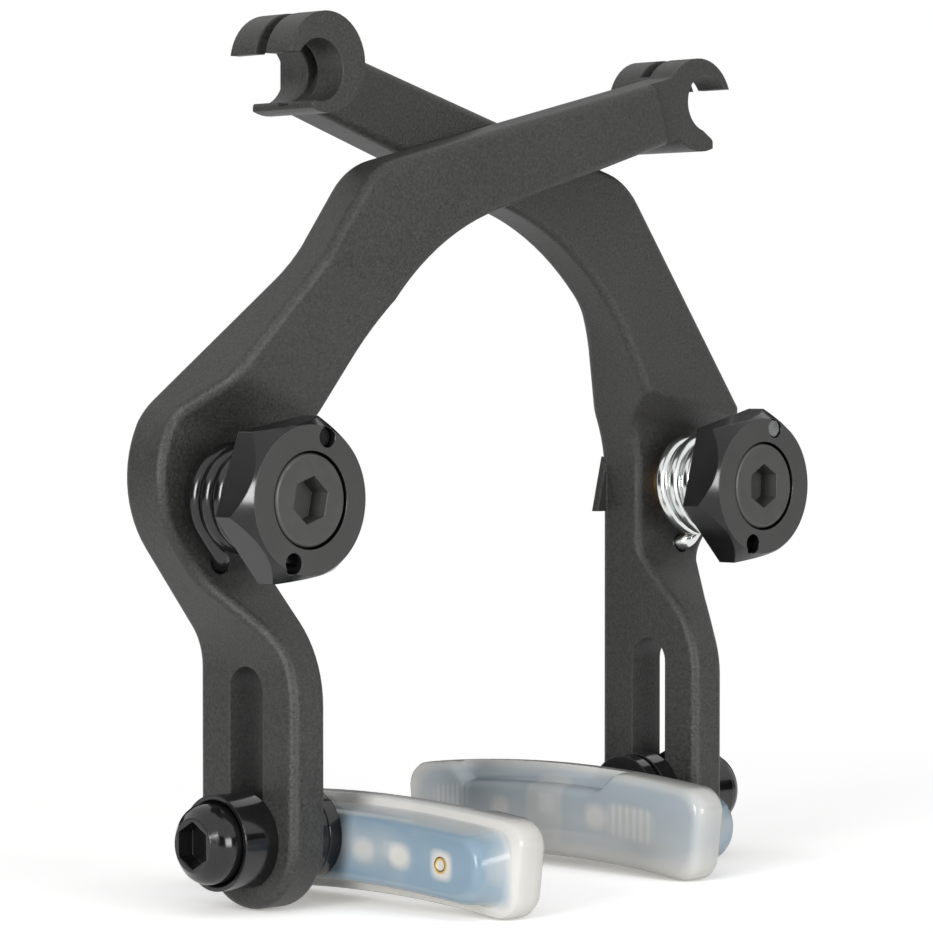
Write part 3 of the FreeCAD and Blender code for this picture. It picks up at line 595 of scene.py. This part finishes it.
def corner_box(half, low, high, radius, steps=8, run=40, dip=None):
    """A rounded rectangle as points along and up. A dip is where the top edge is lowered."""
    points = []
    radius = min(radius, 0.48 * (high - low))
    corners = (
        (half - radius, low + radius, -90),
        (half - radius, high - radius, 0),
        (radius - half, high - radius, 90),
        (radius - half, low + radius, 180),
    )
    for along, up, start in corners:
        for step in range(steps + 1):
            angle = math.radians(start + 90 * step / steps)
            points.append((along + radius * math.cos(angle), up + radius * math.sin(angle)))
        if start in (0, 180):
            end = radius - half if start == 0 else half - radius
            level = high if start == 0 else low
            for step in range(1, run):
                here = along + (end - along) * step / run
                points.append((here, level - (dip(here) if dip and start == 0 else 0)))
    return points


def bent(sizes, side, depth, along, up):
    """A point of the pad: depth across, along its arc and up from the post's line."""
    angle = along / sizes.arc_radius
    reach = sizes.arc_radius + up
    back = sizes.offset + reach * math.sin(angle)
    height = reach * math.cos(angle) - sizes.arc_radius
    return Vector((side * depth, -sizes.post_back + side * back, height - sizes.post_drop))


def ring_of(bm, sizes, side, depth, outline):
    return [bm.verts.new(bent(sizes, side, depth, along, up)) for along, up in outline]


def closed_mesh(bm, name):
    bmesh.ops.recalc_face_normals(bm, faces=bm.faces)
    mesh = bpy.data.meshes.new(name)
    bm.to_mesh(mesh)
    bm.free()
    return mesh


def pad_block_mesh(sizes, word, side):
    """The rubber block: a wide face part with a notched top edge, and a narrower rounded back."""
    half = sizes.length / 2

    def notch(share):
        def dip(along):
            slant = min(along + sizes.notch_near, sizes.notch_far - along) / sizes.notch_slope
            return share * sizes.notch_depth * max(0.0, min(1.0, slant))
        return dip

    face, step, back = sizes.face, sizes.step, sizes.back
    # Layers: where from, then depth, inset and corner radius in millimetres, and share of the notch.
    layers = (
        (face, 0.0, 1.3, 2.6, 1.0),
        (face, 0.15, 0.75, 2.9, 1.0),
        (face, 0.5, 0.3, 3.0, 1.0),
        (face, 1.2, 0.02, 3.0, 1.0),
        (face, 2.2, 0.0, 3.0, 0.95),
        (face, 2.5, 0.0, 3.0, 0.5),
        (face, 2.7, 0.0, 3.0, 0.0),
        (step, -0.5, 0.0, 3.0, 0.0),
        (step, -0.1, 0.18, 3.0, 0.0),
        (step, 0.15, 0.6, 3.1, 0.0),
        (step, 0.35, 1.2, 3.3, 0.0),
        (step, 0.9, 1.45, 3.6, 0.0),
        (back, -1.3, 1.65, 3.8, 0.0),
        (back, -0.5, 1.95, 3.8, 0.0),
        (back, -0.12, 2.5, 3.6, 0.0),
        (back, 0.0, 3.2, 3.2, 0.0),
    )
    bm = bmesh.new()
    rings = []
    for origin, depth, inset, corner, share in layers:
        edge = inset * MM
        low, high = edge - sizes.drop, sizes.rise - edge
        outline = corner_box(half - edge, low, high, corner * MM, dip=notch(share))
        rings.append(ring_of(bm, sizes, side, origin + depth * MM, outline))
    for lower, upper in zip(rings, rings[1:]):
        for index in range(len(lower)):
            ahead = (index + 1) % len(lower)
            bm.faces.new((lower[index], lower[ahead], upper[ahead], upper[index]))
    bm.faces.new(rings[0])
    bm.faces.new(rings[-1])
    return closed_mesh(bm, f"{word}_pad_rubber")


def insert_windows():
    """Openings of the insert as centre and half sizes along and up, in millimetres."""
    windows = [(7.4, -1.2, 3.0, 1.5), (-8.2, -1.2, 2.0, 1.5)]
    windows += [(-11.6 - 1.2 * index, -1.2, 0.32, 1.9) for index in range(6)]
    windows += [(-0.6, -1.2, 0.5, 1.5)]
    return windows


def insert_mesh(sizes, word, side):
    """The stiff insert: a plate with round ends, windows, slots and an eyelet hole."""
    half = sizes.length / 2 - sizes.insert_ends
    low, high = sizes.insert_under - sizes.drop, sizes.rise - sizes.insert_over
    loops = [corner_box(half, low, high, sizes.insert_corner)]
    for along, up, wide, tall in insert_windows():
        corner = min(wide, tall) * 0.5
        points = corner_box(wide * MM, -tall * MM, tall * MM, corner * MM, steps=4, run=3)
        loops.append([(x + along * MM, y + up * MM) for x, y in points])
    hole = []
    for step in range(28):
        angle = 2 * math.pi * step / 28
        along = sizes.eyelet_along + sizes.eyelet_hole * math.cos(angle)
        hole.append((along, sizes.eyelet_up + sizes.eyelet_hole * math.sin(angle)))
    loops.append(hole)
    bm = bmesh.new()
    edges = []
    for loop in loops:
        ring = ring_of(bm, sizes, side, sizes.insert_front, loop)
        for index, vert in enumerate(ring):
            edges.append(bm.edges.new((vert, ring[(index + 1) % len(ring)])))
    bmesh.ops.triangle_fill(bm, use_beauty=True, use_dissolve=False, edges=edges)
    made = bmesh.ops.extrude_face_region(bm, geom=list(bm.faces))
    moved = [item for item in made["geom"] if isinstance(item, bmesh.types.BMVert)]
    bmesh.ops.translate(bm, vec=(side * (sizes.insert_back - sizes.insert_front), 0, 0), verts=moved)
    return closed_mesh(bm, f"{word}_pad_insert_plate")


def eyelet_mesh(sizes, word, side):
    """A small flanged eyelet in the insert's round hole."""
    centre = bent(sizes, side, 0, sizes.eyelet_along, sizes.eyelet_up)
    # Profile: radius, and height over the pad's back, in millimetres.
    profile = (
        (0.45, -1.8), (0.45, -0.14), (0.6, 0.0), (0.85, 0.05),
        (1.12, -0.02), (1.2, -0.16), (1.1, -0.2), (1.1, -1.8),
    )
    bm = bmesh.new()
    rings = []
    for step in range(32):
        angle = 2 * math.pi * step / 32
        ring = []
        for radius, height in profile:
            across = side * (sizes.back + height * MM)
            reach = radius * MM
            spot = (across, centre.y + reach * math.cos(angle), centre.z + reach * math.sin(angle))
            ring.append(bm.verts.new(spot))
        rings.append(ring)
    for first, second in zip(rings, rings[1:] + rings[:1]):
        for index in range(len(profile)):
            ahead = (index + 1) % len(profile)
            bm.faces.new((first[index], first[ahead], second[ahead], second[index]))
    return closed_mesh(bm, f"{word}_pad_eyelet")


class BRAKE_OT_coat_arms(bpy.types.Operator):
    """Powder-coats the two arms"""

    bl_idname = "brake.coat_arms"
    bl_label = "Coat arms"

    def execute(self, context):
        wear(both("arm"), coat_finish(context.scene.brake_finishes))
        return {"FINISHED"}


class BRAKE_OT_finish_bushings(bpy.types.Operator):
    """Gives the pivot bushings their sintered bronze"""

    bl_idname = "brake.finish_bushings"
    bl_label = "Finish bushings"

    def execute(self, context):
        looks = context.scene.brake_finishes
        wear(both("bushing"), bare_metal_finish("bushing_sintered_bronze", looks.bronze, 0.3, 0.2 * MM))
        return {"FINISHED"}


class BRAKE_OT_wind_springs(bpy.types.Operator):
    """Winds the two return springs between arm and adjuster, in one fixed shape"""

    bl_idname = "brake.wind_springs"
    bl_label = "Wind springs"

    def execute(self, context):
        looks = context.scene.brake_finishes
        sizes = context.scene.brake_springs
        enamel = enamel_wire_finish(looks)
        zinc = bare_metal_finish("spring_bright_zinc", looks.zinc_wire, 0.12, 0.3 * MM)
        materials = {"left": (enamel, "black_spring"), "right": (zinc, "zinc_spring")}
        for word, side in SIDES:
            material, record_slot = materials[word]
            mesh = tube_mesh(f"{word}_spring_wire", spring_path(sizes, side), sizes.wire_radius)
            piece = link_mesh(f"{word}_spring_wire", mesh, material, None)
            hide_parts(f"{word}_return_spring")
            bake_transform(piece)
        return {"FINISHED"}


class BRAKE_OT_finish_adjusters(bpy.types.Operator):
    """Blackens the spring adjusters and turns their faces"""

    bl_idname = "brake.finish_adjusters"
    bl_label = "Finish adjusters"

    def execute(self, context):
        for word, side in SIDES:
            wear([f"{word}_adjuster"], black_steel_finish(context.scene.brake_finishes, word, side))
        return {"FINISHED"}


class BRAKE_OT_finish_bolts(bpy.types.Operator):
    """Blackens the pivot bolts"""

    bl_idname = "brake.finish_bolts"
    bl_label = "Finish bolts"

    def execute(self, context):
        for word, side in SIDES:
            wear([f"{word}_pivot_bolt"], bolt_finish(context.scene.brake_finishes, word, side))
        return {"FINISHED"}


class BRAKE_OT_finish_clamps(bpy.types.Operator):
    """Finishes the pad posts and their nuts and washers"""

    bl_idname = "brake.finish_clamps"
    bl_label = "Finish clamps"

    def execute(self, context):
        looks = context.scene.brake_finishes
        names = ("pad_nut", "outer_cup_washer", "inner_cup_washer", "ball_washer")
        wear([node for name in names for node in both(name)], clamp_finish(looks))
        wear(both("pad_post"), bare_metal_finish("post_plated_steel", looks.post, 0.25, 0.2 * MM))
        return {"FINISHED"}


class BRAKE_OT_mould_pads(bpy.types.Operator):
    """Moulds the clear pads round their inserts and eyelets"""

    bl_idname = "brake.mould_pads"
    bl_label = "Mould pads"

    def execute(self, context):
        looks = context.scene.brake_finishes
        sizes = context.scene.brake_pads
        plastic = insert_finish(looks)
        brass = bare_metal_finish("eyelet_brass", looks.eyelet, 0.25, 0.15 * MM)
        for word, side in SIDES:
            body = f"{word}_pad"
            rubber = rubber_finish(looks, sizes, word, side)
            block = link_mesh(
                f"{word}_pad_rubber", pad_block_mesh(sizes, word, side), rubber, body
            )
            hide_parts(f"{word}_pad_block")
            plate = link_mesh(
                f"{word}_pad_insert_plate", insert_mesh(sizes, word, side), plastic, body
            )
            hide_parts(f"{word}_pad_insert")
            link_mesh(f"{word}_pad_eyelet", eyelet_mesh(sizes, word, side), brass, body)
        return {"FINISHED"}


def aim(item, target):
    item.rotation_euler = (target - item.location).to_track_quat("-Z", "Y").to_euler()


def add_lamp(name, place, power, width, height):
    data = bpy.data.lights.new(name, "AREA")
    data.shape = "RECTANGLE"
    data.size = width
    data.size_y = height
    data.energy = power
    lamp = bpy.data.objects.new(name, data)
    bpy.context.scene.collection.objects.link(lamp)
    lamp.location = place
    aim(lamp, MIDDLE)


def seen_directly(shader):
    """1 for rays from the camera, in reflections and through clear rubber, and 0 for the rest."""
    names = ("Is Camera Ray", "Is Glossy Ray", "Is Transmission Ray")
    camera, glossy, clear = (shader.node("ShaderNodeLightPath", output=name) for name in names)
    return (camera + glossy + clear).lowest(1.0)


def floor_finish(stage):
    """A pale matte floor that keeps the lamps' shadow, has a painted soft shadow in its own glow, and fades
    to plain white further out.
    """
    finish = Finish("studio_floor")
    where = finish.place()
    mottle = finish.noise(where, 60 * MM, 3.0)
    colour = stage.floor_colour
    finish.give({"Base Color": finish.tint(mottle, shade(colour, 0.99), shade(colour, 1.01))})
    finish.give({"Roughness": 0.9, "Specular IOR Level": 0.0})
    reach = finish.node("ShaderNodeVectorMath", {"operation": "LENGTH"}, {0: where}, output="Value")
    fade = finish.ramp(reach, [(stage.floor_near, 0), (stage.floor_far, 1)])
    matte = Wire(finish, finish.surface.outputs[0])
    # Painted shadow: ambient occlusion, leaned towards the front left, darkens the colour of the floor's own
    # glow under and behind the object.
    lean = finish.node("ShaderNodeCombineXYZ", inputs=dict(zip("XYZ", PAINTED_SHADOW_LEAN)))
    reached = {"Distance": stage.painted_shadow_reach, "Normal": lean}
    open_sky_for_painted_shadow = finish.node("ShaderNodeAmbientOcclusion", {"samples": 12}, reached, output="AO")
    glow_with_painted_shadow = finish.tint((1.1 * open_sky_for_painted_shadow).lowest(1.0), stage.painted_shadow_colour, (1, 1, 1, 1))
    lift = finish.node("ShaderNodeEmission", inputs={"Color": glow_with_painted_shadow, "Strength": stage.floor_lift})
    lit = finish.node("ShaderNodeAddShader", inputs={0: matte, 1: lift})
    plain = finish.node("ShaderNodeEmission", inputs={"Color": (1, 1, 1, 1), "Strength": 1.0})
    shown = finish.node("ShaderNodeMixShader", inputs={0: fade, 1: lit, 2: plain})
    total = finish.node("ShaderNodeMixShader", inputs={0: seen_directly(finish), 1: matte, 2: shown})
    finish.feed(finish.tree.nodes["Material Output"].inputs["Surface"], total)
    return finish.material


def card_finish():
    """Dull black cloth with a faint weave."""
    finish = Finish("studio_card")
    weave = finish.noise(finish.place(), 4 * MM, 2.0)
    finish.give({"Base Color": finish.tint(weave, (0.004, 0.004, 0.004, 1), (0.008, 0.008, 0.008, 1))})
    return finish.give({"Roughness": 1.0, "Specular IOR Level": 0.0}).material


def flat_piece(name, bm, material):
    """Links a piece of the stage made from a bmesh."""
    mesh = bpy.data.meshes.new(name)
    bm.to_mesh(mesh)
    bm.free()
    mesh.materials.append(material)
    piece = bpy.data.objects.new(name, mesh)
    bpy.context.scene.collection.objects.link(piece)
    return piece


def add_card(name, place, width, height, material):
    """A black card that only reflections show, so that gloss black keeps its contrast."""
    bm = bmesh.new()
    bmesh.ops.create_grid(bm, x_segments=1, y_segments=1, size=0.5)
    bmesh.ops.scale(bm, vec=(width, height, 1), verts=bm.verts)
    card = flat_piece(name, bm, material)
    card.location = place
    aim(card, MIDDLE + Vector((0, 0, place[2])))
    card.visible_camera = False
    card.visible_diffuse = False
    card.visible_shadow = False
    card.visible_transmission = False


def add_camera(scene, stage):
    data = bpy.data.cameras.new("studio_camera")
    data.sensor_width = 36
    data.lens = stage.lens
    data.clip_start = 0.01
    data.clip_end = 20
    camera = bpy.data.objects.new("studio_camera", data)
    scene.collection.objects.link(camera)
    camera.location = stage.camera_place
    camera.rotation_euler = (math.pi / 2 - stage.camera_dip, 0, stage.camera_turn)
    scene.camera = camera


def paint_room(scene, stage):
    """White where it is seen directly, and dim as a light."""
    world = bpy.data.worlds.new("studio_room")
    world.use_nodes = True
    scene.world = world
    room = Shader(world.node_tree)
    sockets = {"Color": (1, 1, 1, 1), "Strength": stage.room_light}
    dim = room.node("ShaderNodeBackground", inputs=sockets)
    white = room.node("ShaderNodeBackground", inputs={"Color": (1, 1, 1, 1), "Strength": 1.0})
    total = room.node("ShaderNodeMixShader", inputs={0: seen_directly(room), 1: dim, 2: white})
    room.feed(world.node_tree.nodes["World Output"].inputs["Surface"], total)


class BRAKE_OT_set_stage(bpy.types.Operator):
    """Sets the camera, the soft lamps, the white room and the pale floor"""

    bl_idname = "brake.set_stage"
    bl_label = "Set stage"

    def execute(self, context):
        scene = context.scene
        stage = scene.brake_stage
        add_camera(scene, stage)
        scene.view_settings.view_transform = "Standard"
        for name, power, place, width, height in LAMPS:
            add_lamp(name, place, getattr(stage, power), width, height)
        cloth = card_finish()
        for name, place, width, height in CARDS:
            add_card(name, place, width, height, cloth)
        paint_room(scene, stage)
        bm = bmesh.new()
        bmesh.ops.create_circle(bm, cap_ends=True, segments=96, radius=FLOOR_RADIUS)
        floor = flat_piece("studio_floor", bm, floor_finish(stage))
        floor.location.z = CAD_BOX[0].z - FLOOR_GAP
        return {"FINISHED"}


OPERATORS = (
    BRAKE_OT_coat_arms,
    BRAKE_OT_finish_bushings,
    BRAKE_OT_wind_springs,
    BRAKE_OT_finish_adjusters,
    BRAKE_OT_finish_bolts,
    BRAKE_OT_finish_clamps,
    BRAKE_OT_mould_pads,
    BRAKE_OT_set_stage,
)


class BRAKE_PT_sidebar(bpy.types.Panel):
    """Lists the brake's operators"""

    bl_idname = "BRAKE_PT_sidebar"
    bl_label = "U-brake"
    bl_space_type = "VIEW_3D"
    bl_region_type = "UI"
    bl_category = "U-brake"

    def draw(self, context):
        for operator in OPERATORS:
            self.layout.operator(operator.bl_idname)


GROUPS = {
    "brake_finishes": BrakeFinishes,
    "brake_springs": BrakeSpringSizes,
    "brake_pads": BrakePadSizes,
    "brake_stage": BrakeStage,
}


def register():
    for group in (*GROUPS.values(), *OPERATORS, BRAKE_PT_sidebar):
        bpy.utils.register_class(group)
    for name, group in GROUPS.items():
        setattr(bpy.types.Scene, name, PointerProperty(type=group))


def unregister():
    for name in GROUPS:
        delattr(bpy.types.Scene, name)
    for group in (BRAKE_PT_sidebar, *reversed(OPERATORS), *reversed(GROUPS.values())):
        bpy.utils.unregister_class(group)


def main():
    register()
    bpy.ops.brake.coat_arms()
    bpy.ops.brake.finish_bushings()
    bpy.ops.brake.wind_springs()
    bpy.ops.brake.finish_adjusters()
    bpy.ops.brake.finish_bolts()
    bpy.ops.brake.finish_clamps()
    bpy.ops.brake.mould_pads()
    bpy.ops.brake.set_stage()


if __name__ == "__main__":
    main()
